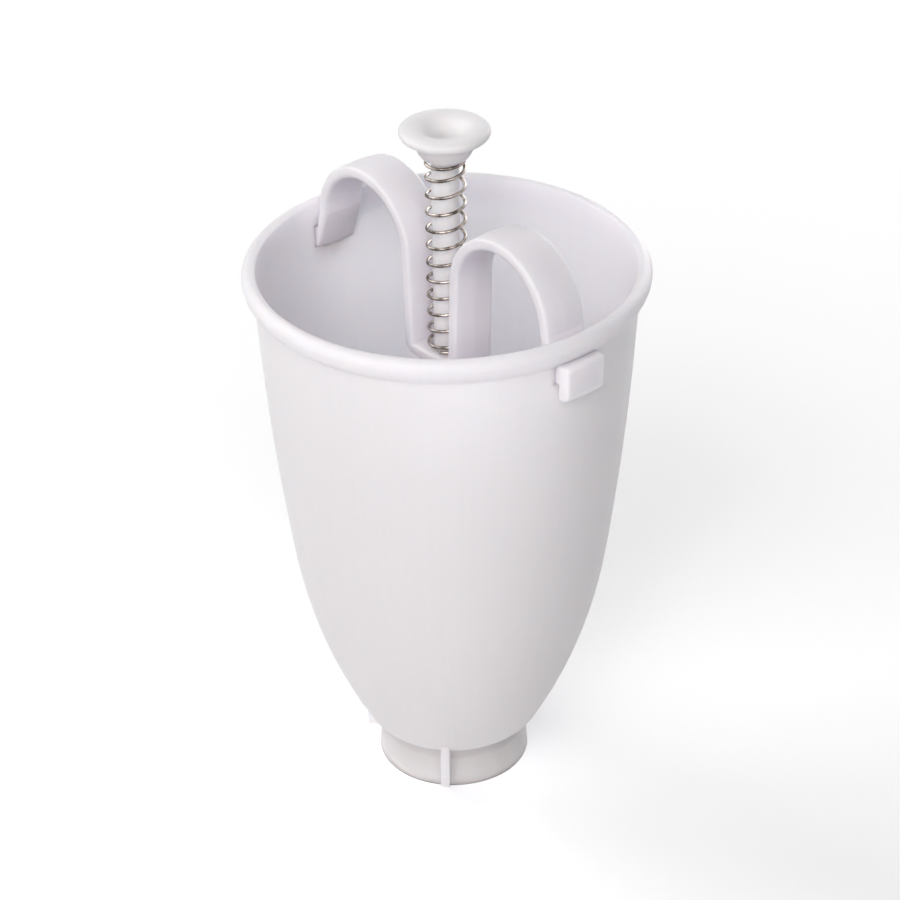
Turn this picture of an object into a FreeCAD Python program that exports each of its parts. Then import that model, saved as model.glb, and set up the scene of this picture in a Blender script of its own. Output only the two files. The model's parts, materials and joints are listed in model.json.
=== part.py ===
import FreeCAD, Part
import math
import os

import Sketcher

# A hand-held dispenser for ring-shaped batter: a cup with an outlet collar, a strap with two finger
# arches clipped through the cup's wall, and a plunger that a spring holds up.
# Millimetres, +Z up. The origin is the centre of the collar's bottom face, and the strap lies in the
# XZ plane.

SIZES = {
    # Collar round the outlet, and the throat and seat inside it
    "collar_foot_radius": 20.7,
    "collar_taper": 0.6,
    "collar_wall": 1.0,
    "seat_height": 9.6,
    "seat_width": 1.6,
    "throat_rise": 2.4,
    "collar_rise": 2.3,
    "collar_ledge_width": 1.0,
    "collar_ledge_drop": 3.2,
    # Cup wall: a tight foot, a curved belly and a long, nearly straight upper wall
    "wall_thickness": 1.8,
    "foot_flare": 4.25,
    "foot_rise": 3.6,
    "foot_curve": 7.8,
    "belly_flare": 17.4,
    "belly_rise": 51.2,
    "belly_curve": 156.6,
    "shoulder_flare": 7.6,
    "shoulder_rise": 79.3,
    "shoulder_curve": 777.0,
    # Rolled rim, with the mouth flaring smoothly out of the inner wall
    "rim_overhang": 3.15,
    "rim_rise": 4.6,
    "rim_under_curve": 6.0,
    "rim_crest_inset": 2.1,
    "rim_crest_rise": 2.6,
    "rim_over_curve": 2.6,
    "rim_lip_width": 1.5,
    "rim_lip_drop": 0.7,
    "rim_inner_curve": 1.8,
    "mouth_flare_curve": 20.8,
    "rim_crease_fillet": 0.5,
    # Fins between the collar and the cup's foot, which reach just past it
    "fin_reach": 0.35,
    "fin_top_rise": 1.2,
    "fin_thickness": 2.3,
    "fin_bottom_height": 2.6,
    "fin_root_depth": 0.4,
    "fin_middle_angle": -94.5,
    "fin_half_spread": 49.0,
    "far_fin_angle": 94.0,
    # Slots in the wall for the strap's ends
    "slot_side_gap": 0.3,
    "slot_foot_gap": 0.45,
    "slot_head_gap": 0.5,
    # Strap with two finger arches, measured at its side faces: its draft thickens it to the middle
    "strap_width": 12.4,
    "strap_thickness": 3.0,
    "strap_draft": 3.0,
    "strap_edge_fillet": 0.8,
    "leg_length": 23.95,
    "leg_spring_gap": 1.8,
    "leg_splay": 0.9,
    "arch_wall_gap": 2.25,
    "arch_rise": 6.0,
    "base_corner_round": 3.4,
    # Clip lugs at the strap's ends
    "tongue_foot_inset": 1.05,
    "tongue_top_inset": 0.85,
    "tongue_thickness": 5.6,
    "lug_top_rise": 0.4,
    "hook_drop": 4.2,
    "lug_thickness": 3.6,
    "hook_standoff": 0.25,
    "lug_corner_round": 2.4,
    "lug_top_round": 1.2,
    # Plunger
    "rod_radius": 3.55,
    "rod_guide_clearance": 0.1,
    "rod_socket_clearance": 0.05,
    "rod_chamfer": 0.5,
    # Spring
    "wire_radius": 0.425,
    "spring_rod_gap": 0.925,
    "spring_length": 54.85,
    "spring_foot_gap": 0.45,
    "spring_head_gap": 0.1,
    "spring_closed_rise": 1.3,
    "spring_open_rise": 2.0,
    "spring_active_turns": 10.5,
    "spring_start_angle": -63.0,
    # Thumb knob: a bowl-shaped boss, a rounded edge and a broad lip that rolls into the dish
    "boss_wall": 2.3,
    "boss_flare": 1.85,
    "boss_height": 3.9,
    "boss_curve": 7.8,
    "knob_neck_flare": 0.2,
    "knob_neck_rise": 0.9,
    "knob_edge_inset": 0.57,
    "knob_edge_rise": 0.77,
    "knob_radius": 11.55,
    "knob_waist_rise": 1.23,
    "knob_under_curve": 1.6,
    "knob_brow_inset": 0.55,
    "knob_brow_rise": 0.95,
    "knob_side_curve": 1.1,
    "knob_crest_inset": 2.9,
    "knob_crest_rise": 0.53,
    "knob_over_curve": 5.5,
    "dish_lip_width": 3.0,
    "dish_lip_drop": 1.15,
    "dish_lip_curve": 4.5,
    "dish_depth": 2.25,
    "knob_socket_depth": 3.1,
    # Valve disc
    "disc_edge_clearance": 0.4,
    "disc_seat_gap": 0.3,
    "disc_thickness": 2.0,
    "disc_edge_chamfer": 0.5,
    "disc_cone_margin": 0.6,
    "disc_cone_rise": 3.0,
    "disc_cone_ledge": 1.0,
    "disc_hub_wall": 1.8,
    "disc_hub_height": 9.5,
    "disc_floor": 1.5,
}


class Size:
    """A length or angle that knows its value and the expression that gives it in the sheet."""

    def __init__(self, value, text):
        self.value = value
        self.text = text

    @staticmethod
    def of(other):
        return other if isinstance(other, Size) else Size(float(other), repr(float(other)))

    def combined(self, other, sign, value):
        return Size(value, f"({self.text} {sign} {Size.of(other).text})")

    def __add__(self, other):
        return self.combined(other, "+", self.value + Size.of(other).value)

    def __sub__(self, other):
        return self.combined(other, "-", self.value - Size.of(other).value)

    def __mul__(self, other):
        return self.combined(other, "*", self.value * Size.of(other).value)

    def __truediv__(self, other):
        return self.combined(other, "/", self.value / Size.of(other).value)

    def __neg__(self):
        return Size(-self.value, f"(-1 * {self.text})")


doc = FreeCAD.newDocument("batter_dispenser")
sheet = doc.addObject("Spreadsheet::Sheet", "sizes")
size = {}
for row, (alias, number) in enumerate(SIZES.items(), start=1):
    sheet.set(f"A{row}", alias)
    sheet.set(f"B{row}", str(number))
    sheet.setAlias(f"B{row}", alias)
    size[alias] = Size(number, f"sizes.{alias}")
doc.recompute()

ON_AXIS = Size(0.0, "0")

# Collar and throat
collar_top_radius = size["collar_foot_radius"] - size["collar_taper"]
bore_radius = collar_top_radius - size["collar_wall"]
throat_radius = bore_radius - size["seat_width"]
throat_height = size["seat_height"] + size["throat_rise"]
collar_height = size["seat_height"] + size["collar_rise"]
ledge_radius = collar_top_radius - size["collar_ledge_width"]
ledge_height = collar_height - size["collar_ledge_drop"]

# Cup wall and rim, from the collar upwards
wall = size["wall_thickness"]
foot_radius = collar_top_radius + size["foot_flare"]
foot_height = collar_height + size["foot_rise"]
belly_radius = foot_radius + size["belly_flare"]
belly_height = foot_height + size["belly_rise"]
shoulder_radius = belly_radius + size["shoulder_flare"]
shoulder_height = belly_height + size["shoulder_rise"]
rim_radius = shoulder_radius + size["rim_overhang"]
rim_height = shoulder_height + size["rim_rise"]
crest_radius = rim_radius - size["rim_crest_inset"]
crest_height = rim_height + size["rim_crest_rise"]

# Clip lugs, hooked on the wall just below its shoulder
lug_top = shoulder_height + size["lug_top_rise"]
tongue_height = lug_top - size["tongue_thickness"]
lug_bottom = tongue_height - size["hook_drop"]
hook_inside = shoulder_radius + size["hook_standoff"]
lug_face = hook_inside + size["lug_thickness"]

# Plunger: the rod's sockets, the spring round it and what both stand on
socket_radius = size["rod_radius"] + size["rod_socket_clearance"]
coil_radius = size["rod_radius"] + size["spring_rod_gap"] + size["wire_radius"]
arch_spring_height = shoulder_height + size["arch_rise"]
base_top = arch_spring_height - size["leg_length"]
spring_foot = base_top + size["spring_foot_gap"]
boss_foot = base_top + size["spring_length"]
spring_head = boss_foot - size["spring_head_gap"]
rod_head = boss_foot + size["knob_socket_depth"]
disc_top = size["seat_height"] - size["disc_seat_gap"]
disc_foot = disc_top - size["disc_thickness"]
rod_foot = disc_foot + size["disc_floor"]


def new_body(name):
    body = doc.addObject("PartDesign::Body", name)
    body.Label = name
    return body


def origin_plane(body, role):
    return next(plane for plane in body.Origin.OriginFeatures if plane.Role == role)


def new_sketch(body, name, role):
    sketch = body.newObject("Sketcher::SketchObject", name)
    sketch.AttachmentSupport = (origin_plane(body, role), [""])
    sketch.MapMode = "FlatFace"
    return sketch


def bind(target, path, amount):
    target.setExpression(path, amount.text)


def arc_centre(start, end, radius, bulge):
    """The centre of an arc from start to end that bulges to the left (+1) or right (-1) of its chord."""
    chord = end - start
    middle = (start + end) * 0.5
    left = FreeCAD.Vector(-chord.y, chord.x, 0).normalize()
    reach = math.sqrt(max(radius ** 2 - (chord.Length / 2) ** 2, 0.0))
    return middle - left * (bulge * reach)


class Outline:
    """A closed outline in a sketch: named corners placed by sizes, joined by lines and arcs."""

    def __init__(self, body, name, role):
        self.sketch = new_sketch(body, name, role)
        self.corners = []
        self.edges = []

    def corner(self, name, across, up, curve=None, bulge=1):
        """Adds a corner, reached from the last one by a line, or by an arc whose radius is curve."""
        self.corners.append((name, across, up))
        self.edges.append((curve, bulge))

    def place(self, name, geometry, point, across, up):
        for kind, axis_line, letter, amount in (("DistanceX", -2, "across", across),
                                                ("DistanceY", -1, "up", up)):
            if amount is ON_AXIS:
                self.sketch.addConstraint(Sketcher.Constraint("PointOnObject", geometry, point, axis_line))
                continue
            pair = (-1, 1, geometry, point)
            if amount.value < 0:
                pair = (geometry, point, -1, 1)
                amount = -amount
            index = self.sketch.addConstraint(Sketcher.Constraint(kind, *pair, amount.value))
            label = f"{name}_{letter}"
            self.sketch.renameConstraint(index, label)
            bind(self.sketch, f"Constraints.{label}", amount)

    def close(self):
        """Draws the edges, with the last corner joined to the first by that first corner's edge."""
        points = [FreeCAD.Vector(across.value, up.value, 0) for _, across, up in self.corners]
        ends = []
        for index, (curve, bulge) in enumerate(self.edges):
            start = points[index - 1]
            end = points[index]
            if curve is None:
                edge = self.sketch.addGeometry(Part.LineSegment(start, end), False)
                ends.append((edge, 1, 2))
                continue
            centre = arc_centre(start, end, curve.value, bulge)
            circle = Part.Circle(centre, FreeCAD.Vector(0, 0, 1), curve.value)
            first = math.atan2(start.y - centre.y, start.x - centre.x)
            last = math.atan2(end.y - centre.y, end.x - centre.x)
            if bulge > 0:
                first, last = last, first
            edge = self.sketch.addGeometry(Part.ArcOfCircle(circle, first, last), False)
            ends.append((edge, 2, 1) if bulge > 0 else (edge, 1, 2))
        for index, (edge, start_point, _) in enumerate(ends):
            before, _, end_point = ends[index - 1]
            self.sketch.addConstraint(
                Sketcher.Constraint("Coincident", before, end_point, edge, start_point))
        for (name, across, up), (edge, _, end_point), (curve, _) in zip(self.corners, ends, self.edges):
            self.place(name, edge, end_point, across, up)
            if curve is not None:
                index = self.sketch.addConstraint(Sketcher.Constraint("Radius", edge, curve.value))
                label = f"{name}_curve"
                self.sketch.renameConstraint(index, label)
                bind(self.sketch, f"Constraints.{label}", curve)
        return self.sketch


def circle_sketch(body, name, role, radius):
    sketch = new_sketch(body, name, role)
    circle = Part.Circle(FreeCAD.Vector(0, 0, 0), FreeCAD.Vector(0, 0, 1), radius.value)
    edge = sketch.addGeometry(circle, False)
    sketch.addConstraint(Sketcher.Constraint("Coincident", edge, 3, -1, 1))
    index = sketch.addConstraint(Sketcher.Constraint("Radius", edge, radius.value))
    sketch.renameConstraint(index, "radius")
    bind(sketch, "Constraints.radius", radius)
    return sketch


def revolve(body, name, sketch):
    feature = body.newObject("PartDesign::Revolution", name)
    feature.Profile = sketch
    feature.ReferenceAxis = (sketch, ["V_Axis"])
    feature.Angle = 360
    sketch.Visibility = False
    doc.recompute()
    return feature


def pad_both_ways(body, name, sketch, width):
    feature = body.newObject("PartDesign::Pad", name)
    feature.Profile = sketch
    feature.SideType = "Symmetric"
    bind(feature, "Length", width)
    doc.recompute()
    return feature


def pad_drafted(body, name, sketch, width, draft):
    """Pads the sketch from the near side face to the XZ plane, growing as it goes, and mirrors it."""
    bind(sketch, "AttachmentOffset.Base.z", -width / 2)
    feature = body.newObject("PartDesign::Pad", f"{name}_near_half")
    feature.Profile = sketch
    bind(feature, "Length", width / 2)
    bind(feature, "TaperAngle", draft)
    doc.recompute()
    mirrored = body.newObject("PartDesign::Mirrored", name)
    mirrored.Originals = [feature]
    mirrored.MirrorPlane = (origin_plane(body, "XZ_Plane"), [""])
    body.Tip = mirrored
    doc.recompute()
    return mirrored


def cut_through(body, name, sketch):
    """Cuts the sketch through the whole body, both ways, and checks that material went."""
    before = body.Shape.Volume
    feature = body.newObject("PartDesign::Pocket", name)
    feature.Profile = sketch
    feature.SideType = "Symmetric"
    feature.Type = "ThroughAll"
    doc.recompute()
    if not feature.Shape.Volume < before:
        raise ValueError(f"{name} cuts nothing")
    return feature


def round_edges(body, name, radius, wanted):
    """Rounds each edge of the body's tip for which wanted(edge) is true."""
    base = body.Tip
    edges = [f"Edge{index}" for index, edge in enumerate(base.Shape.Edges, start=1) if wanted(edge)]
    if not edges:
        raise ValueError(f"{name} finds no edge")
    feature = body.newObject("PartDesign::Fillet", name)
    feature.Base = (base, edges)
    bind(feature, "Radius", radius)
    doc.recompute()
    return feature


def near(first, second, slack=0.02):
    return abs(first - second) < slack


def circle_at(edge, radius, height):
    """Whether the edge is a whole level circle of this radius and height."""
    if not isinstance(edge.Curve, Part.Circle):
        return False
    if not edge.isClosed():
        return False
    return near(edge.Curve.Radius, radius.value) and near(edge.Curve.Center.z, height.value)


def make_cup():
    """Cup, rim, throat and collar in one revolved section, with fins added and slots cut."""
    body = new_body("cup")
    section = Outline(body, "cup_section", "XZ_Plane")
    section.corner("mouth", crest_radius - size["rim_lip_width"], crest_height - size["rim_lip_drop"],
                   size["rim_inner_curve"], bulge=-1)
    section.corner("inner_shoulder", shoulder_radius - wall, shoulder_height,
                   size["mouth_flare_curve"], bulge=-1)
    section.corner("inner_belly", belly_radius - wall, belly_height, size["shoulder_curve"] - wall)
    section.corner("inner_foot", foot_radius - wall, foot_height, size["belly_curve"] - wall)
    section.corner("throat_top", throat_radius, throat_height)
    section.corner("throat_bottom", throat_radius, size["seat_height"])
    section.corner("seat_edge", bore_radius, size["seat_height"])
    section.corner("bore_foot", bore_radius, ON_AXIS)
    section.corner("collar_foot", size["collar_foot_radius"], ON_AXIS)
    section.corner("collar_side", collar_top_radius, ledge_height)
    section.corner("ledge_top", ledge_radius, collar_height)
    section.corner("foot", foot_radius, foot_height, size["foot_curve"], bulge=-1)
    section.corner("belly", belly_radius, belly_height, size["belly_curve"], bulge=-1)
    section.corner("shoulder", shoulder_radius, shoulder_height, size["shoulder_curve"], bulge=-1)
    section.corner("rim", rim_radius, rim_height, size["rim_under_curve"], bulge=-1)
    section.corner("crest", crest_radius, crest_height, size["rim_over_curve"], bulge=-1)
    section.close()
    revolve(body, "cup_wall", section.sketch)
    round_edges(body, "rim_crease", size["rim_crease_fillet"],
                lambda edge: circle_at(edge, shoulder_radius, shoulder_height))
    fin_angles = {
        "front_fin": size["fin_middle_angle"] + size["fin_half_spread"],
        "left_fin": size["fin_middle_angle"] - size["fin_half_spread"],
        "far_fin": size["far_fin_angle"],
    }
    for name, angle in fin_angles.items():
        make_fin(body, name, angle)
    make_slots(body)
    return body


def make_fin(body, name, angle):
    """A thin upright fin that joins the collar's side to the underside of the cup's foot."""
    fin = Outline(body, f"{name}_outline", "XZ_Plane")
    root = collar_top_radius - size["fin_root_depth"]
    edge = foot_radius + size["fin_reach"]
    fin.corner("root_bottom", root, size["fin_bottom_height"])
    fin.corner("edge_bottom", edge, size["fin_bottom_height"])
    fin.corner("edge_top", edge, foot_height + size["fin_top_rise"])
    fin.corner("root_top", ledge_radius - size["fin_root_depth"], collar_height + size["fin_root_depth"])
    fin.corner("root_side", root, ledge_height)
    fin.close()
    fin.sketch.AttachmentOffset = FreeCAD.Placement(
        FreeCAD.Vector(0, 0, 0), FreeCAD.Rotation(FreeCAD.Vector(0, 1, 0), angle.value))
    bind(fin.sketch, "AttachmentOffset.Rotation.Angle", angle)
    return pad_both_ways(body, name, fin.sketch, size["fin_thickness"])


def make_slots(body):
    """A slot through the wall at each end of the strap, with the tongue seated close on its foot."""
    slot = Outline(body, "slot_outline", "YZ_Plane")
    half_width = size["strap_width"] / 2 + size["slot_side_gap"]
    bottom = tongue_height - size["slot_foot_gap"]
    top = lug_top + size["slot_head_gap"]
    slot.corner("near_bottom", -half_width, bottom)
    slot.corner("far_bottom", half_width, bottom)
    slot.corner("far_top", half_width, top)
    slot.corner("near_top", -half_width, top)
    slot.close()
    cut_through(body, "slots", slot.sketch)


def strap_half():
    """The corners of the strap's right half, from its base's underside round to its base's top.

    Each is a name, two places, and for an arc that ends there its radius and the side it bulges to.
    """
    thickness = size["strap_thickness"]
    leg_foot = coil_radius + size["wire_radius"] + size["leg_spring_gap"]
    leg_head = leg_foot + size["leg_splay"]
    inside_wall = shoulder_radius - wall
    arch_end = inside_wall - size["arch_wall_gap"]
    arch_radius = (arch_end - leg_head) / 2
    arch_middle = leg_head + arch_radius
    arch_top = arch_spring_height + arch_radius
    inner_radius = arch_radius - thickness
    base_under = base_top - thickness
    leg_side = leg_foot + thickness
    base_round = size["base_corner_round"]
    lug_round = size["lug_corner_round"]
    top_round = size["lug_top_round"]
    return [
        ("base_under", leg_side - base_round, base_under, None, 0),
        ("leg_foot", leg_side, base_under + base_round, base_round, -1),
        ("inner_leg_head", leg_head + thickness, arch_spring_height, None, 0),
        ("arch_underside", arch_middle, arch_top - thickness, inner_radius, 1),
        ("outer_leg_head", arch_end - thickness, arch_spring_height, inner_radius, 1),
        ("tongue_foot", inside_wall - size["tongue_foot_inset"], tongue_height, None, 0),
        ("hook_root", hook_inside, tongue_height, None, 0),
        ("hook_tip", hook_inside, lug_bottom, None, 0),
        ("lug_bottom", lug_face - lug_round, lug_bottom, None, 0),
        ("lug_side", lug_face, lug_bottom + lug_round, lug_round, -1),
        ("lug_shoulder", lug_face, lug_top - top_round, None, 0),
        ("lug_top", lug_face - top_round, lug_top, top_round, -1),
        ("tongue_top", inside_wall - size["tongue_top_inset"], lug_top, None, 0),
        ("arch_outer_end", arch_end, arch_spring_height, None, 0),
        ("arch_crown", arch_middle, arch_top, arch_radius, -1),
        ("arch_inner_end", leg_head, arch_spring_height, arch_radius, -1),
        ("base_top", leg_foot, base_top, None, 0),
    ]


def make_handle_bracket():
    """The strap: an M-shaped outline drawn out both ways with draft, then bored and rounded."""
    body = new_body("handle_bracket")
    outline = Outline(body, "strap_outline", "XZ_Plane")
    half = strap_half()
    for name, across, up, curve, bulge in half:
        outline.corner(f"right_{name}", across, up, curve, bulge)
    # The left half runs back the other way, so each corner is reached along the edge that left it.
    reached_by = [(None, 0)] + [(curve, bulge) for _, _, _, curve, bulge in half[:0:-1]]
    for (name, across, up, _, _), (curve, bulge) in zip(half[::-1], reached_by):
        outline.corner(f"left_{name}", -across, up, curve, bulge)
    outline.close()
    pad_drafted(body, "strap", outline.sketch, size["strap_width"], size["strap_draft"])
    guide = circle_sketch(body, "guide_outline", "XY_Plane", size["rod_radius"] + size["rod_guide_clearance"])
    cut_through(body, "rod_guide", guide)
    half_width = size["strap_width"].value / 2
    round_edges(body, "strap_edges", size["strap_edge_fillet"],
                lambda edge: all(near(abs(vertex.Point.y), half_width) for vertex in edge.Vertexes))
    return body


def make_plunger_rod():
    """A plain round rod from the valve disc's socket to the knob's socket."""
    body = new_body("plunger_rod")
    outline = Outline(body, "rod_section", "XZ_Plane")
    chamfer = size["rod_chamfer"]
    outline.corner("foot", ON_AXIS, rod_foot)
    outline.corner("foot_edge", size["rod_radius"] - chamfer, rod_foot)
    outline.corner("foot_side", size["rod_radius"], rod_foot + chamfer)
    outline.corner("head_side", size["rod_radius"], rod_head - chamfer)
    outline.corner("head_edge", size["rod_radius"] - chamfer, rod_head)
    outline.corner("head", ON_AXIS, rod_head)
    outline.close()
    revolve(body, "rod", outline.sketch)
    return body


def make_thumb_knob():
    """A round knob with a dished top and a bowl-shaped boss that takes the rod and the spring's end."""
    body = new_body("thumb_knob")
    outline = Outline(body, "knob_section", "XZ_Plane")
    boss_foot_radius = socket_radius + size["boss_wall"]
    boss_head_radius = boss_foot_radius + size["boss_flare"]
    boss_head = boss_foot + size["boss_height"]
    neck = boss_head + size["knob_neck_rise"]
    edge = neck + size["knob_edge_rise"]
    waist = edge + size["knob_waist_rise"]
    brow = waist + size["knob_brow_rise"]
    crest = brow + size["knob_crest_rise"]
    lip_radius = size["knob_radius"] - size["knob_crest_inset"]
    dish_radius = lip_radius - size["dish_lip_width"]
    dish_edge = crest - size["dish_lip_drop"]
    dish_depth = size["dish_depth"]
    dish_curve = (dish_radius * dish_radius / dish_depth + dish_depth) / 2
    outline.corner("dish_floor", ON_AXIS, dish_edge - dish_depth, dish_curve)
    outline.corner("socket_floor", ON_AXIS, rod_head)
    outline.corner("socket_corner", socket_radius, rod_head)
    outline.corner("socket_mouth", socket_radius, boss_foot)
    outline.corner("boss_foot", boss_foot_radius, boss_foot)
    outline.corner("boss_head", boss_head_radius, boss_head, size["boss_curve"], bulge=-1)
    outline.corner("neck", boss_head_radius + size["knob_neck_flare"], neck)
    outline.corner("edge", size["knob_radius"] - size["knob_edge_inset"], edge)
    outline.corner("waist", size["knob_radius"], waist, size["knob_under_curve"], bulge=-1)
    outline.corner("brow", size["knob_radius"] - size["knob_brow_inset"], brow,
                   size["knob_side_curve"], bulge=-1)
    outline.corner("crest", lip_radius, crest, size["knob_over_curve"], bulge=-1)
    outline.corner("dish_edge", dish_radius, dish_edge, size["dish_lip_curve"], bulge=-1)
    outline.close()
    revolve(body, "knob", outline.sketch)
    return body


def make_valve_disc():
    """The disc that closes the outlet from below, with a cone and a hub that takes the rod."""
    body = new_body("valve_disc")
    outline = Outline(body, "disc_section", "XZ_Plane")
    edge = bore_radius - size["disc_edge_clearance"]
    chamfer = size["disc_edge_chamfer"]
    cone_foot = throat_radius - size["disc_cone_margin"]
    cone_top = disc_top + size["disc_cone_rise"]
    hub_radius = socket_radius + size["disc_hub_wall"]
    hub_top = disc_foot + size["disc_hub_height"]
    outline.corner("socket_floor", ON_AXIS, rod_foot)
    outline.corner("underside", ON_AXIS, disc_foot)
    outline.corner("underside_edge", edge - chamfer, disc_foot)
    outline.corner("side_foot", edge, disc_foot + chamfer)
    outline.corner("side_head", edge, disc_top - chamfer)
    outline.corner("seat_edge", edge - chamfer, disc_top)
    outline.corner("cone_foot", cone_foot, disc_top)
    outline.corner("cone_top", hub_radius + size["disc_cone_ledge"], cone_top)
    outline.corner("hub_head", hub_radius, hub_top)
    outline.corner("socket_mouth", socket_radius, hub_top)
    outline.corner("socket_corner", socket_radius, rod_foot)
    outline.close()
    revolve(body, "disc", outline.sketch)
    return body


def spring_nodes(low, high):
    """Half-turn points of the coil's centre line and its direction at each, from low to high."""
    closed = size["spring_closed_rise"].value
    opened = size["spring_open_rise"].value
    active_halves = round(2 * size["spring_active_turns"].value)
    active_rise = (high - low - closed - opened) / active_halves
    rises = [closed / 2] * 2 + [active_rise] * active_halves + [opened / 2] * 2
    radius = coil_radius.value
    nodes = []
    height = low
    for index in range(len(rises) + 1):
        beside = rises[max(index - 1, 0):index + 1]
        slope = sum(beside) / len(beside) / (math.pi * radius)
        turned = math.radians(size["spring_start_angle"].value) + math.pi * index
        point = FreeCAD.Vector(radius * math.cos(turned), radius * math.sin(turned), height)
        along = FreeCAD.Vector(-math.sin(turned), math.cos(turned), slope).normalize()
        nodes.append((point, along))
        if index < len(rises):
            height += rises[index]
    return nodes


def arc_peak(start, along, end):
    """The middle point of the arc that leaves start in the direction along and reaches end."""
    chord = end - start
    lean = math.acos(along.dot(chord) / chord.Length)
    middle = start + chord * 0.5
    tangents_meet = start + along * (chord.Length / 2 / math.cos(lean))
    outward = (tangents_meet - middle).normalize()
    return middle + outward * (chord.Length / 2 * math.tan(lean / 2))


def biarc(start, leaving, end, arriving):
    """Two arcs that meet smoothly and join the two points in the two directions."""
    chord = end - start
    both = leaving + arriving
    spread = 2 * (1 - leaving.dot(arriving))
    reach = (math.sqrt(chord.dot(both) ** 2 + spread * chord.dot(chord)) - chord.dot(both)) / spread
    joint = (start + end + (leaving - arriving) * reach) * 0.5
    return [
        Part.Arc(start, arc_peak(start, leaving, joint), joint),
        Part.Arc(joint, arc_peak(end, -arriving, joint), end),
    ]


def least_gap(edges, wire):
    """The least gap between turns, measured on points along the coil's centre line."""
    steps = 12
    points = [point for edge in edges for point in edge.discretize(steps + 1)[:-1]]
    per_half_turn = 2 * steps
    least = math.inf
    for index, point in enumerate(points):
        for other in points[index + per_half_turn:index + 3 * per_half_turn]:
            least = min(least, (other - point).Length)
    return least - 2 * wire


def make_return_spring():
    """A right-handed compression spring of round wire, as one unbroken tube."""
    wire = size["wire_radius"].value
    low = spring_foot.value + wire
    high = spring_head.value - wire
    nodes = spring_nodes(low, high)
    edges = []
    for (start, leaving), (end, arriving) in zip(nodes, nodes[1:]):
        edges.extend(arc.toShape() for arc in biarc(start, leaving, end, arriving))
    path = Part.Wire(edges)
    first_point, first_along = nodes[0]
    section = Part.Wire([Part.Circle(first_point, first_along, wire).toShape()])
    tube = path.makePipeShell([section], True, False)
    expected = math.pi * wire ** 2 * path.Length
    print(f"return_spring: volume {tube.Volume:.2f}, section times length {expected:.2f}")
    print(f"return_spring: least gap to itself {least_gap(edges, wire):.3f} mm")
    spring = doc.addObject("Part::Feature", "return_spring")
    spring.Label = "return_spring"
    spring.Shape = tube
    return spring


def check_document():
    for item in doc.Objects:
        if any(word in ("Invalid", "Error") for word in item.State):
            raise ValueError(f"{item.Name} is {item.State}")


parts = [
    make_cup(),
    make_handle_bracket(),
    make_return_spring(),
    make_plunger_rod(),
    make_thumb_knob(),
    make_valve_disc(),
]
check_document()
os.makedirs("parts", exist_ok=True)
for part in parts:
    shape = part.Shape
    if shape.isNull() or not shape.isValid():
        raise ValueError(f"{part.Label} has no valid shape")
    print(f"{part.Label}: {len(shape.Solids)} solid, volume {shape.Volume:.1f}")
    shape.exportStep(f"parts/{part.Label}.step")
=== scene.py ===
"""Finishes, stage, lamps and camera for a batter dispenser.

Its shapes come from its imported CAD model.
"""

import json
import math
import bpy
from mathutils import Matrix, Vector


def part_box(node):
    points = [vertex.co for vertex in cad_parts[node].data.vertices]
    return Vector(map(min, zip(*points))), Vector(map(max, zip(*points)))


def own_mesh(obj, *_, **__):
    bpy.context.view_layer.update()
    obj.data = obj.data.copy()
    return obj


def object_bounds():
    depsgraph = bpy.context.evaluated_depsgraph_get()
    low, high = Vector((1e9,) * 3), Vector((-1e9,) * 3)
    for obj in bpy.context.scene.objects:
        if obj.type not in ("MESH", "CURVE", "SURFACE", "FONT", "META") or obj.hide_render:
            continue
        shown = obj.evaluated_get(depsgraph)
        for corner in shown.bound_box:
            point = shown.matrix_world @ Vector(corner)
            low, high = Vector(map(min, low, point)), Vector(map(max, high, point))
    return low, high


bl_info = {
    "name": "Batter Dispenser Finishes",
    "version": (1, 0, 0),
    "blender": (4, 5, 0),
    "location": "3D View > Sidebar > Dispenser",
    "description": "Finishes, a pale stage and a camera for a batter dispenser",
    "category": "Material",
}

import bpy
from bpy.props import FloatProperty, FloatVectorProperty, PointerProperty
from mathutils import Euler, Vector

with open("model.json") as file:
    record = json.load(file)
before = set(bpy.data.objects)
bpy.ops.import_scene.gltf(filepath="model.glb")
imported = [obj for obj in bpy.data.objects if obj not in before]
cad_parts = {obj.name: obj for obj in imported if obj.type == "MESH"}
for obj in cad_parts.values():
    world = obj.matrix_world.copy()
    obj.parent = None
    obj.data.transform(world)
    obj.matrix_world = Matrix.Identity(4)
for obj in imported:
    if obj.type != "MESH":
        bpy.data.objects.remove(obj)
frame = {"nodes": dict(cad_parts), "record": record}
cad_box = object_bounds()
low, high = cad_box
object_centre = (low + high) / 2

BLACK = (0, 0, 0, 1)
WHITE = (1, 1, 1, 1)
NOISE_MIDDLE = 0.5

# White plastic: scales of its noise, and how far the noise goes into its relief and roughness
PLASTIC_IOR = 1.49
GLOW_BY_CHANNEL = (0.8, 0.9, 0.97)
FLOW_SCALE = 30.0
RIPPLE_SCALE = 160.0
SKIN_SCALE = 1400.0
SKIN_SHARE = 0.5
STREAK_SCALE = 40.0
STREAK_RISE = 0.6
COARSE_DETAIL = 3.0
PATCH_RANGE = (0.3, 0.7)
PATCH_ROUGHNESS = 0.14
RIPPLE_ROUGHNESS = 0.06
PEEL_STRENGTH = 0.35

# How each moulding's plastic departs from the plain one
CUP_LINES = 0.6
STRAP_ROUGHNESS = -0.03
STRAP_GLOW = 0.9
KNOB_ROUGHNESS = 0.12
ROD_ROUGHNESS = 0.02

# Spring wire: the angle round the axis is scaled down, so that the lines run along the wire
UNROLLED_TURN = 0.0004
LINE_SCALE = 9000.0
LINE_ROUGHNESS = 0.2
LINE_STRENGTH = 0.4
# Spring wire's dark patches: partly a drawing film, partly a painted dark reflection of the
# surroundings; the same noise also varies the roughness
FILM_AND_DARK_REFLECTION_SCALE = 420.0
FILM_AND_DARK_REFLECTION_RANGE = (0.40, 0.62)
FILM_ROUGHNESS = 0.15

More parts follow.
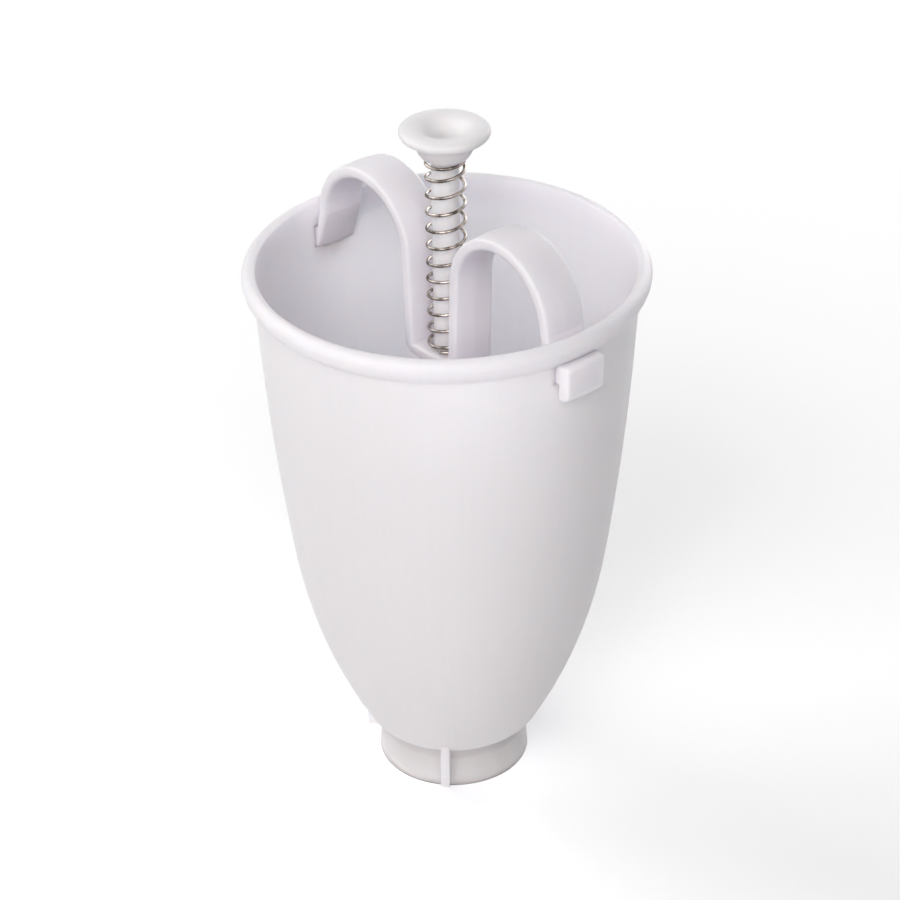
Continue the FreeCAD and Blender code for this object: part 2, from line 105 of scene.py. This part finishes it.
# Stage: each lamp's name, azimuth and elevation in degrees, and the setting with its power
FLOOR_SIDES = 96
LAMP_DISTANCE = 1.2
LAMP_SIZE = 0.8
LAMPS = (
    ("key_lamp", 20.0, 38.0, "key_power"),
    ("front_lamp", 50.0, 38.0, "front_power"),
    ("left_lamp", -70.0, 38.0, "left_power"),
    ("back_lamp", -160.0, 12.0, "back_power"),
)
SENSOR_WIDTH = 36.0
CAMERA_CLIP = (0.05, 20.0)


# Sizes and colours


class PlasticSettings(bpy.types.PropertyGroup):
    color: FloatVectorProperty(
        name="Colour", description="Colour of the moulded white plastic",
        subtype="COLOR", size=4, min=0.0, max=1.0, default=(0.898, 0.857, 0.908, 1.0))
    flow_color: FloatVectorProperty(
        name="Flow colour", description="Colour of the faint patches left by the plastic's flow",
        subtype="COLOR", size=4, min=0.0, max=1.0, default=(0.878, 0.841, 0.892, 1.0))
    # Painted shade: the knob and the valve disc get a darker copy of the plunger's white plastic,
    # standing in for the shade in the knob's dish
    knob_painted_shade_color: FloatVectorProperty(
        name="Knob colour", description="Colour of the knob and the valve disc",
        subtype="COLOR", size=4, min=0.0, max=1.0, default=(0.862, 0.832, 0.840, 1.0))
    # Painted light: the rod gets a brighter copy of the same white plastic, standing in for how
    # brightly it is lit
    rod_painted_light_color: FloatVectorProperty(
        name="Rod colour", description="Colour of the plunger rod",
        subtype="COLOR", size=4, min=0.0, max=1.0, default=(0.930, 0.902, 0.914, 1.0))
    roughness: FloatProperty(
        name="Roughness", description="Roughness of the satin surface", subtype="FACTOR",
        min=0.0, max=1.0, default=0.48)
    gloss: FloatProperty(
        name="Gloss", description="Strength of the reflection at the surface", subtype="FACTOR",
        min=0.0, max=1.0, default=0.35)
    glow_depth: FloatProperty(
        name="Glow depth", description="How far light spreads inside the plastic",
        subtype="DISTANCE", unit="LENGTH", min=0.0, default=0.0052)
    peel_depth: FloatProperty(
        name="Peel depth", description="Height of the fine unevenness of the surface",
        subtype="DISTANCE", unit="LENGTH", min=0.0, default=0.00002)


class WireSettings(bpy.types.PropertyGroup):
    color: FloatVectorProperty(
        name="Colour", description="Colour of the drawn steel wire",
        subtype="COLOR", size=4, min=0.0, max=1.0, default=(0.47, 0.42, 0.38, 1.0))
    # Painted reflection in part: the dark patches stand partly for drawing film and partly for dark
    # surroundings reflected in the wire
    stain_and_dark_reflection_color: FloatVectorProperty(
        name="Stain colour", description="Colour of the wire where its drawing film stays on",
        subtype="COLOR", size=4, min=0.0, max=1.0, default=(0.10, 0.08, 0.068, 1.0))
    roughness: FloatProperty(
        name="Roughness", description="Roughness of the drawn wire", subtype="FACTOR",
        min=0.0, max=1.0, default=0.30)
    line_depth: FloatProperty(
        name="Line depth", description="Depth of the lines that drawing leaves along the wire",
        subtype="DISTANCE", unit="LENGTH", min=0.0, default=0.00001)


class StageSettings(bpy.types.PropertyGroup):
    floor_color: FloatVectorProperty(
        name="Floor colour", description="Colour of the studio floor",
        subtype="COLOR", size=4, min=0.0, max=1.0, default=(0.92, 0.92, 0.92, 1.0))
    floor_glow: FloatProperty(
        name="Floor glow", description="White that the floor adds where the camera looks at it",
        min=0.0, default=0.24)
    shadow_reach: FloatProperty(
        name="Shadow reach",
        description="How far from the dispenser the floor shows its light and shadow",
        subtype="DISTANCE", unit="LENGTH", min=0.1, default=0.2)
    floor_radius: FloatProperty(
        name="Floor radius", description="Radius of the studio floor", subtype="DISTANCE",
        unit="LENGTH", min=0.5, default=3.0)
    sky_strength: FloatProperty(
        name="Sky strength", description="Strength of the even light from all round",
        min=0.0, default=0.0)
    key_power: FloatProperty(
        name="Key power", description="Power of the main lamp, on the camera's left",
        subtype="POWER", unit="POWER", min=0.0, default=5.7)
    front_power: FloatProperty(
        name="Front power", description="Power of the lamp by the camera",
        subtype="POWER", unit="POWER", min=0.0, default=6.5)
    left_power: FloatProperty(
        name="Left power", description="Power of the lamp on the far left",
        subtype="POWER", unit="POWER", min=0.0, default=6.4)
    back_power: FloatProperty(
        name="Back power",
        description="Power of the low lamp behind, which also shines through the wall",
        subtype="POWER", unit="POWER", min=0.0, default=9.6)


class CameraSettings(bpy.types.PropertyGroup):
    location: FloatVectorProperty(
        name="Location", description="Where the camera stands", subtype="TRANSLATION",
        unit="LENGTH", size=3, default=(0.50016, -0.41214, 0.50034))
    azimuth: FloatProperty(
        name="Azimuth", description="Turn of the camera round the dispenser from its front",
        subtype="ANGLE", unit="ROTATION", default=math.radians(50.5))
    elevation: FloatProperty(
        name="Elevation", description="How far the camera looks down", subtype="ANGLE",
        unit="ROTATION", default=math.radians(31.934))
    roll: FloatProperty(
        name="Roll", description="Turn of the camera about its own line of sight", subtype="ANGLE",
        unit="ROTATION", default=math.radians(-0.902))
    lens: FloatProperty(
        name="Focal length", description="Focal length for a sensor 36 mm wide",
        subtype="DISTANCE_CAMERA", unit="CAMERA", min=1.0, default=115.18)


# Shader building


class Value:
    """An output socket of a material; arithmetic on it adds Math nodes to the material."""

    def __init__(self, finish, socket):
        self.finish = finish
        self.socket = socket

    def __add__(self, other):
        return self.finish.math("ADD", self, other)

    def __sub__(self, other):
        return self.finish.math("SUBTRACT", self, other)

    def __rsub__(self, other):
        return self.finish.math("SUBTRACT", other, self)

    def __mul__(self, other):
        return self.finish.math("MULTIPLY", self, other)

    __radd__ = __add__
    __rmul__ = __mul__


class Finish:
    """A node tree being built, of a material or of the world."""

    def __init__(self, tree):
        self.tree = tree
        self.tree.nodes.clear()

    def math(self, operation, first, second):
        return self.add("ShaderNodeMath", {"operation": operation}, {0: first, 1: second})

    def add(self, kind, settings=None, inputs=None, output=0):
        """Adds a node, sets it up, gives its sockets values or links, and returns one output."""
        node = self.tree.nodes.new(kind)
        for name, setting in (settings or {}).items():
            if name == "stops":
                self.set_stops(node.color_ramp, setting)
            else:
                setattr(node, name, setting)
        for key, value in (inputs or {}).items():
            if isinstance(value, Value):
                self.tree.links.new(value.socket, node.inputs[key])
            else:
                node.inputs[key].default_value = value
        return Value(self, node.outputs[output])

    @staticmethod
    def set_stops(ramp, stops):
        """Sets the two stops that a new ramp has."""
        for element, (position, color) in zip(ramp.elements, stops):
            element.position = position
            element.color = color

    def ramp(self, factor, start, end):
        """Black up to the start, white from the end on."""
        stops = [(start, BLACK), (end, WHITE)]
        return self.add("ShaderNodeValToRGB", {"stops": stops}, {"Fac": factor})

    def mix_color(self, factor, first, second):
        return self.add(
            "ShaderNodeMix", {"data_type": "RGBA"},
            {"Factor": factor, 6: first, 7: second}, output=2)

    def noise(self, place, scale, detail=2.0):
        return self.add(
            "ShaderNodeTexNoise", inputs={"Vector": place, "Scale": scale, "Detail": detail})

    def position(self):
        return self.add("ShaderNodeTexCoord", output="Object")

    def vector(self, operation, *operands):
        return self.add("ShaderNodeVectorMath", {"operation": operation}, dict(enumerate(operands)))

    def length(self, vector):
        return self.add(
            "ShaderNodeVectorMath", {"operation": "LENGTH"}, {0: vector}, output="Value")

    def streaks(self, place):
        """Noise drawn out into long streaks that run up a wall round the dispenser's axis."""
        ring = self.vector("NORMALIZE", self.vector("MULTIPLY", place, (1.0, 1.0, 0.0)))
        height = self.vector("MULTIPLY", place, (0.0, 0.0, STREAK_RISE))
        return self.noise(self.vector("ADD", ring, height), STREAK_SCALE, COARSE_DETAIL)

    def seen(self):
        """1 for rays by which the camera sees the background, also in a reflection, else 0."""
        camera = self.add("ShaderNodeLightPath", output="Is Camera Ray")
        glossy = Value(self, camera.socket.node.outputs["Is Glossy Ray"])
        through = Value(self, camera.socket.node.outputs["Is Transmission Ray"])
        return self.math("MAXIMUM", camera, self.math("MAXIMUM", glossy, through))

    def close(self, shader, kind="ShaderNodeOutputMaterial"):
        end = self.tree.nodes.new(kind)
        self.tree.links.new(shader.socket, end.inputs["Surface"])


def new_material(name):
    material = bpy.data.materials.new(name)
    material.use_nodes = True
    return material, Finish(material.node_tree)


def white_plastic(name, roughness_shift=0.0, drawn=0.0, color=None, glow=1.0):
    """Satin white plastic with faint flow patches and a fine, uneven skin.

    Where it is drawn, lines run up the wall as well.
    """
    settings = bpy.context.scene.dispenser_plastic
    color = color or settings.color
    material, finish = new_material(name)
    place = finish.position()
    flow = finish.noise(place, FLOW_SCALE, COARSE_DETAIL)
    skin = finish.noise(place, SKIN_SCALE)
    ripple = finish.noise(place, RIPPLE_SCALE)
    tone = flow
    relief = skin * SKIN_SHARE + ripple
    if drawn:
        lines = finish.streaks(place)
        tone = flow * (1 - drawn) + lines * drawn
        relief = relief + lines * drawn
    spread = finish.ramp(tone, *PATCH_RANGE)
    fade = [patch / plain for patch, plain in zip(settings.flow_color, settings.color)]
    faded = tuple(channel * part for channel, part in zip(color, fade))
    surface = finish.mix_color(spread, tuple(color), faded)
    roughness = (settings.roughness + roughness_shift + (tone - NOISE_MIDDLE) * PATCH_ROUGHNESS
                 + (ripple - NOISE_MIDDLE) * RIPPLE_ROUGHNESS)
    normal = finish.add("ShaderNodeBump", inputs={
        "Strength": PEEL_STRENGTH, "Distance": settings.peel_depth, "Height": relief})
    shader = finish.add("ShaderNodeBsdfPrincipled", inputs={
        "Base Color": surface,
        "Roughness": roughness,
        "Normal": normal,
        "IOR": PLASTIC_IOR,
        "Specular IOR Level": settings.gloss,
        "Subsurface Weight": 1.0,
        "Subsurface Scale": settings.glow_depth * glow,
        "Subsurface Radius": GLOW_BY_CHANNEL,
    })
    finish.close(shader)
    return material


def drawn_wire(name):
    """Drawn steel wire: fine lines along it, and dark warm patches at random that are partly a film
    where the drawing soap stayed on and partly a painted dark reflection.
    """
    settings = bpy.context.scene.dispenser_wire
    material, finish = new_material(name)
    place = finish.position()
    split = finish.add("ShaderNodeSeparateXYZ", inputs={"Vector": place})
    across = Value(finish, split.socket.node.outputs["X"])
    along = Value(finish, split.socket.node.outputs["Y"])
    up = Value(finish, split.socket.node.outputs["Z"])
    angle = finish.math("ARCTAN2", along, across)
    reach = finish.length(finish.add("ShaderNodeCombineXYZ", inputs={"X": across, "Y": along}))
    unrolled = finish.add("ShaderNodeCombineXYZ", inputs={
        "X": angle * UNROLLED_TURN, "Y": reach, "Z": up})
    lines = finish.noise(unrolled, LINE_SCALE)
    # The film noise and its patches paint dark brown on the wire, partly drawing film and partly
    # painted dark reflection
    film = finish.noise(place, FILM_AND_DARK_REFLECTION_SCALE, COARSE_DETAIL)
    patches = finish.ramp(film, *FILM_AND_DARK_REFLECTION_RANGE)
    color = finish.mix_color(patches, tuple(settings.color), tuple(settings.stain_and_dark_reflection_color))
    roughness = (settings.roughness + (lines - NOISE_MIDDLE) * LINE_ROUGHNESS
                 + (film - NOISE_MIDDLE) * FILM_ROUGHNESS)
    normal = finish.add("ShaderNodeBump", inputs={
        "Strength": LINE_STRENGTH, "Distance": settings.line_depth, "Height": lines})
    shader = finish.add("ShaderNodeBsdfPrincipled", inputs={
        "Base Color": color,
        "Roughness": roughness,
        "Normal": normal,
        "Metallic": 1.0,
    })
    finish.close(shader)
    return material


def wear(node, material):
    """Gives a CAD node its finish."""
    mesh = frame["nodes"][node].data
    mesh.materials.clear()
    mesh.materials.append(material)


# Pieces


class DISPENSER_OT_finish_cup(bpy.types.Operator):
    """Gives the cup its white plastic"""

    bl_idname = "dispenser.finish_cup"
    bl_label = "Finish Cup"

    def execute(self, context):
        wear("cup", white_plastic("cup_plastic", drawn=CUP_LINES))
        return {"FINISHED"}


class DISPENSER_OT_finish_strap(bpy.types.Operator):
    """Gives the handle strap its white plastic"""

    bl_idname = "dispenser.finish_strap"
    bl_label = "Finish Strap"

    def execute(self, context):
        wear("handle_bracket", white_plastic("strap_plastic", STRAP_ROUGHNESS, glow=STRAP_GLOW))
        return {"FINISHED"}


class DISPENSER_OT_finish_plunger(bpy.types.Operator):
    """Gives the knob, the rod and the valve disc their white plastic: a darker copy on the knob and
    disc as painted shade, a brighter copy on the rod as painted light
    """

    bl_idname = "dispenser.finish_plunger"
    bl_label = "Finish Plunger"

    def execute(self, context):
        settings = context.scene.dispenser_plastic
        # The knob and the valve disc wear a darker copy of the white plastic as painted shade
        knob_plastic = white_plastic("knob_plastic", KNOB_ROUGHNESS, color=settings.knob_painted_shade_color)
        wear("thumb_knob", knob_plastic)
        wear("valve_disc", knob_plastic)
        # The rod wears a brighter copy of the white plastic as painted light
        wear("plunger_rod", white_plastic("rod_plastic", ROD_ROUGHNESS, color=settings.rod_painted_light_color))
        return {"FINISHED"}


class DISPENSER_OT_finish_spring(bpy.types.Operator):
    """Gives the return spring its drawn steel wire and a mesh of its own"""

    bl_idname = "dispenser.finish_spring"
    bl_label = "Finish Spring"

    def execute(self, context):
        wear("return_spring", drawn_wire("spring_wire"))
        joints = frame["record"]["behaviour"]["joints"]
        stroke = next(joint for joint in joints if joint["name"] == "plunger_stroke")
        nodes = stroke["deforming_nodes"]
        foot = next(node for node in nodes if node["node"] == "return_spring")["fixed_end_z_m"]
        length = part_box("return_spring")[1].z - foot
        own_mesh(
            frame["nodes"]["return_spring"], "plunger_stroke", axis=(0, 0, 1), anchor=(0, 0, foot),
            keep=1 - stroke["range_m"][1] / length)
        return {"FINISHED"}


# Stage


def studio_floor(settings):
    """A pale disc that keeps the shadow near the dispenser and is seen as white farther off."""
    bpy.ops.mesh.primitive_circle_add(
        vertices=FLOOR_SIDES, radius=settings.floor_radius, fill_type="NGON")
    floor = bpy.context.object
    floor.name = "studio_floor"
    material, finish = new_material("floor_paper")
    seen = finish.seen()
    paper = finish.add("ShaderNodeBsdfDiffuse", inputs={"Color": tuple(settings.floor_color)})
    glow = finish.add("ShaderNodeEmission", inputs={"Strength": seen * settings.floor_glow})
    near = finish.add("ShaderNodeAddShader", inputs={0: paper, 1: glow})
    far = finish.add("ShaderNodeMapRange", inputs={
        "Value": finish.length(finish.position()),
        "From Min": settings.shadow_reach, "From Max": settings.shadow_reach * 2})
    white = finish.add("ShaderNodeEmission", inputs={"Strength": 1.0})
    finish.close(finish.add("ShaderNodeMixShader", inputs={"Fac": seen * far, 1: near, 2: white}))
    floor.data.materials.append(material)


def studio_sky(settings):
    """Even light from all round, and plain white where the camera or a reflection sees it."""
    world = bpy.data.worlds.new("studio_sky")
    world.use_nodes = True
    bpy.context.scene.world = world
    finish = Finish(world.node_tree)
    lit = finish.add("ShaderNodeBackground", inputs={
        "Color": WHITE, "Strength": settings.sky_strength})
    white = finish.add("ShaderNodeBackground", inputs={"Color": WHITE, "Strength": 1.0})
    sky = finish.add("ShaderNodeMixShader", inputs={"Fac": finish.seen(), 1: lit, 2: white})
    finish.close(sky, "ShaderNodeOutputWorld")


def soft_lamp(name, azimuth, elevation, power):
    """A square lamp that looks at the dispenser from the given side; azimuth as for the camera."""
    lamp = bpy.data.lights.new(name, "AREA")
    lamp.shape = "SQUARE"
    lamp.size = LAMP_SIZE
    lamp.energy = power
    turn = math.radians(azimuth)
    rise = math.radians(elevation)
    aside = math.cos(rise)
    back = Vector((math.sin(turn) * aside, -math.cos(turn) * aside, math.sin(rise)))
    holder = bpy.data.objects.new(name, lamp)
    holder.location = object_centre + back * LAMP_DISTANCE
    holder.rotation_euler = (-back).to_track_quat("-Z", "Y").to_euler()
    bpy.context.collection.objects.link(holder)


def studio_camera(settings):
    """The camera at the viewing angle of the reference view."""
    camera = bpy.data.cameras.new("studio_camera")
    camera.sensor_width = SENSOR_WIDTH
    camera.lens = settings.lens
    camera.clip_start, camera.clip_end = CAMERA_CLIP
    holder = bpy.data.objects.new("studio_camera", camera)
    tilt = Euler((math.pi / 2 - settings.elevation, 0.0, settings.azimuth)).to_matrix()
    roll = Euler((0.0, 0.0, settings.roll)).to_matrix()
    holder.matrix_world = (tilt @ roll).to_4x4()
    holder.location = settings.location
    bpy.context.collection.objects.link(holder)
    bpy.context.scene.camera = holder


class DISPENSER_OT_set_stage(bpy.types.Operator):
    """Lays the floor and sets the sky, the lamps and the camera"""

    bl_idname = "dispenser.set_stage"
    bl_label = "Set Stage"

    def execute(self, context):
        settings = context.scene.dispenser_stage
        studio_floor(settings)
        studio_sky(settings)
        for name, azimuth, elevation, power in LAMPS:
            soft_lamp(name, azimuth, elevation, getattr(settings, power))
        studio_camera(context.scene.dispenser_camera)
        context.scene.view_settings.view_transform = "Standard"
        return {"FINISHED"}


class DISPENSER_PT_panel(bpy.types.Panel):
    """Lists the dispenser's sizes, colours and steps"""

    bl_idname = "DISPENSER_PT_panel"
    bl_label = "Dispenser"
    bl_space_type = "VIEW_3D"
    bl_region_type = "UI"
    bl_category = "Dispenser"

    def draw(self, context):
        for settings in (getattr(context.scene, name) for name in SETTINGS):
            for name in settings.__annotations__:
                self.layout.prop(settings, name)
        for step in STEPS:
            self.layout.operator(step.bl_idname)


SETTINGS = {
    "dispenser_plastic": PlasticSettings,
    "dispenser_wire": WireSettings,
    "dispenser_stage": StageSettings,
    "dispenser_camera": CameraSettings,
}
STEPS = (
    DISPENSER_OT_finish_cup,
    DISPENSER_OT_finish_strap,
    DISPENSER_OT_finish_plunger,
    DISPENSER_OT_finish_spring,
    DISPENSER_OT_set_stage,
)


def register():
    for kind in (*SETTINGS.values(), *STEPS, DISPENSER_PT_panel):
        bpy.utils.register_class(kind)
    for name, kind in SETTINGS.items():
        setattr(bpy.types.Scene, name, PointerProperty(type=kind))


def unregister():
    for name in SETTINGS:
        delattr(bpy.types.Scene, name)
    for kind in reversed((*SETTINGS.values(), *STEPS, DISPENSER_PT_panel)):
        bpy.utils.unregister_class(kind)


def main():
    register()
    bpy.ops.dispenser.finish_cup()
    bpy.ops.dispenser.finish_strap()
    bpy.ops.dispenser.finish_plunger()
    bpy.ops.dispenser.finish_spring()
    bpy.ops.dispenser.set_stage()


if __name__ == "__main__":
    main()
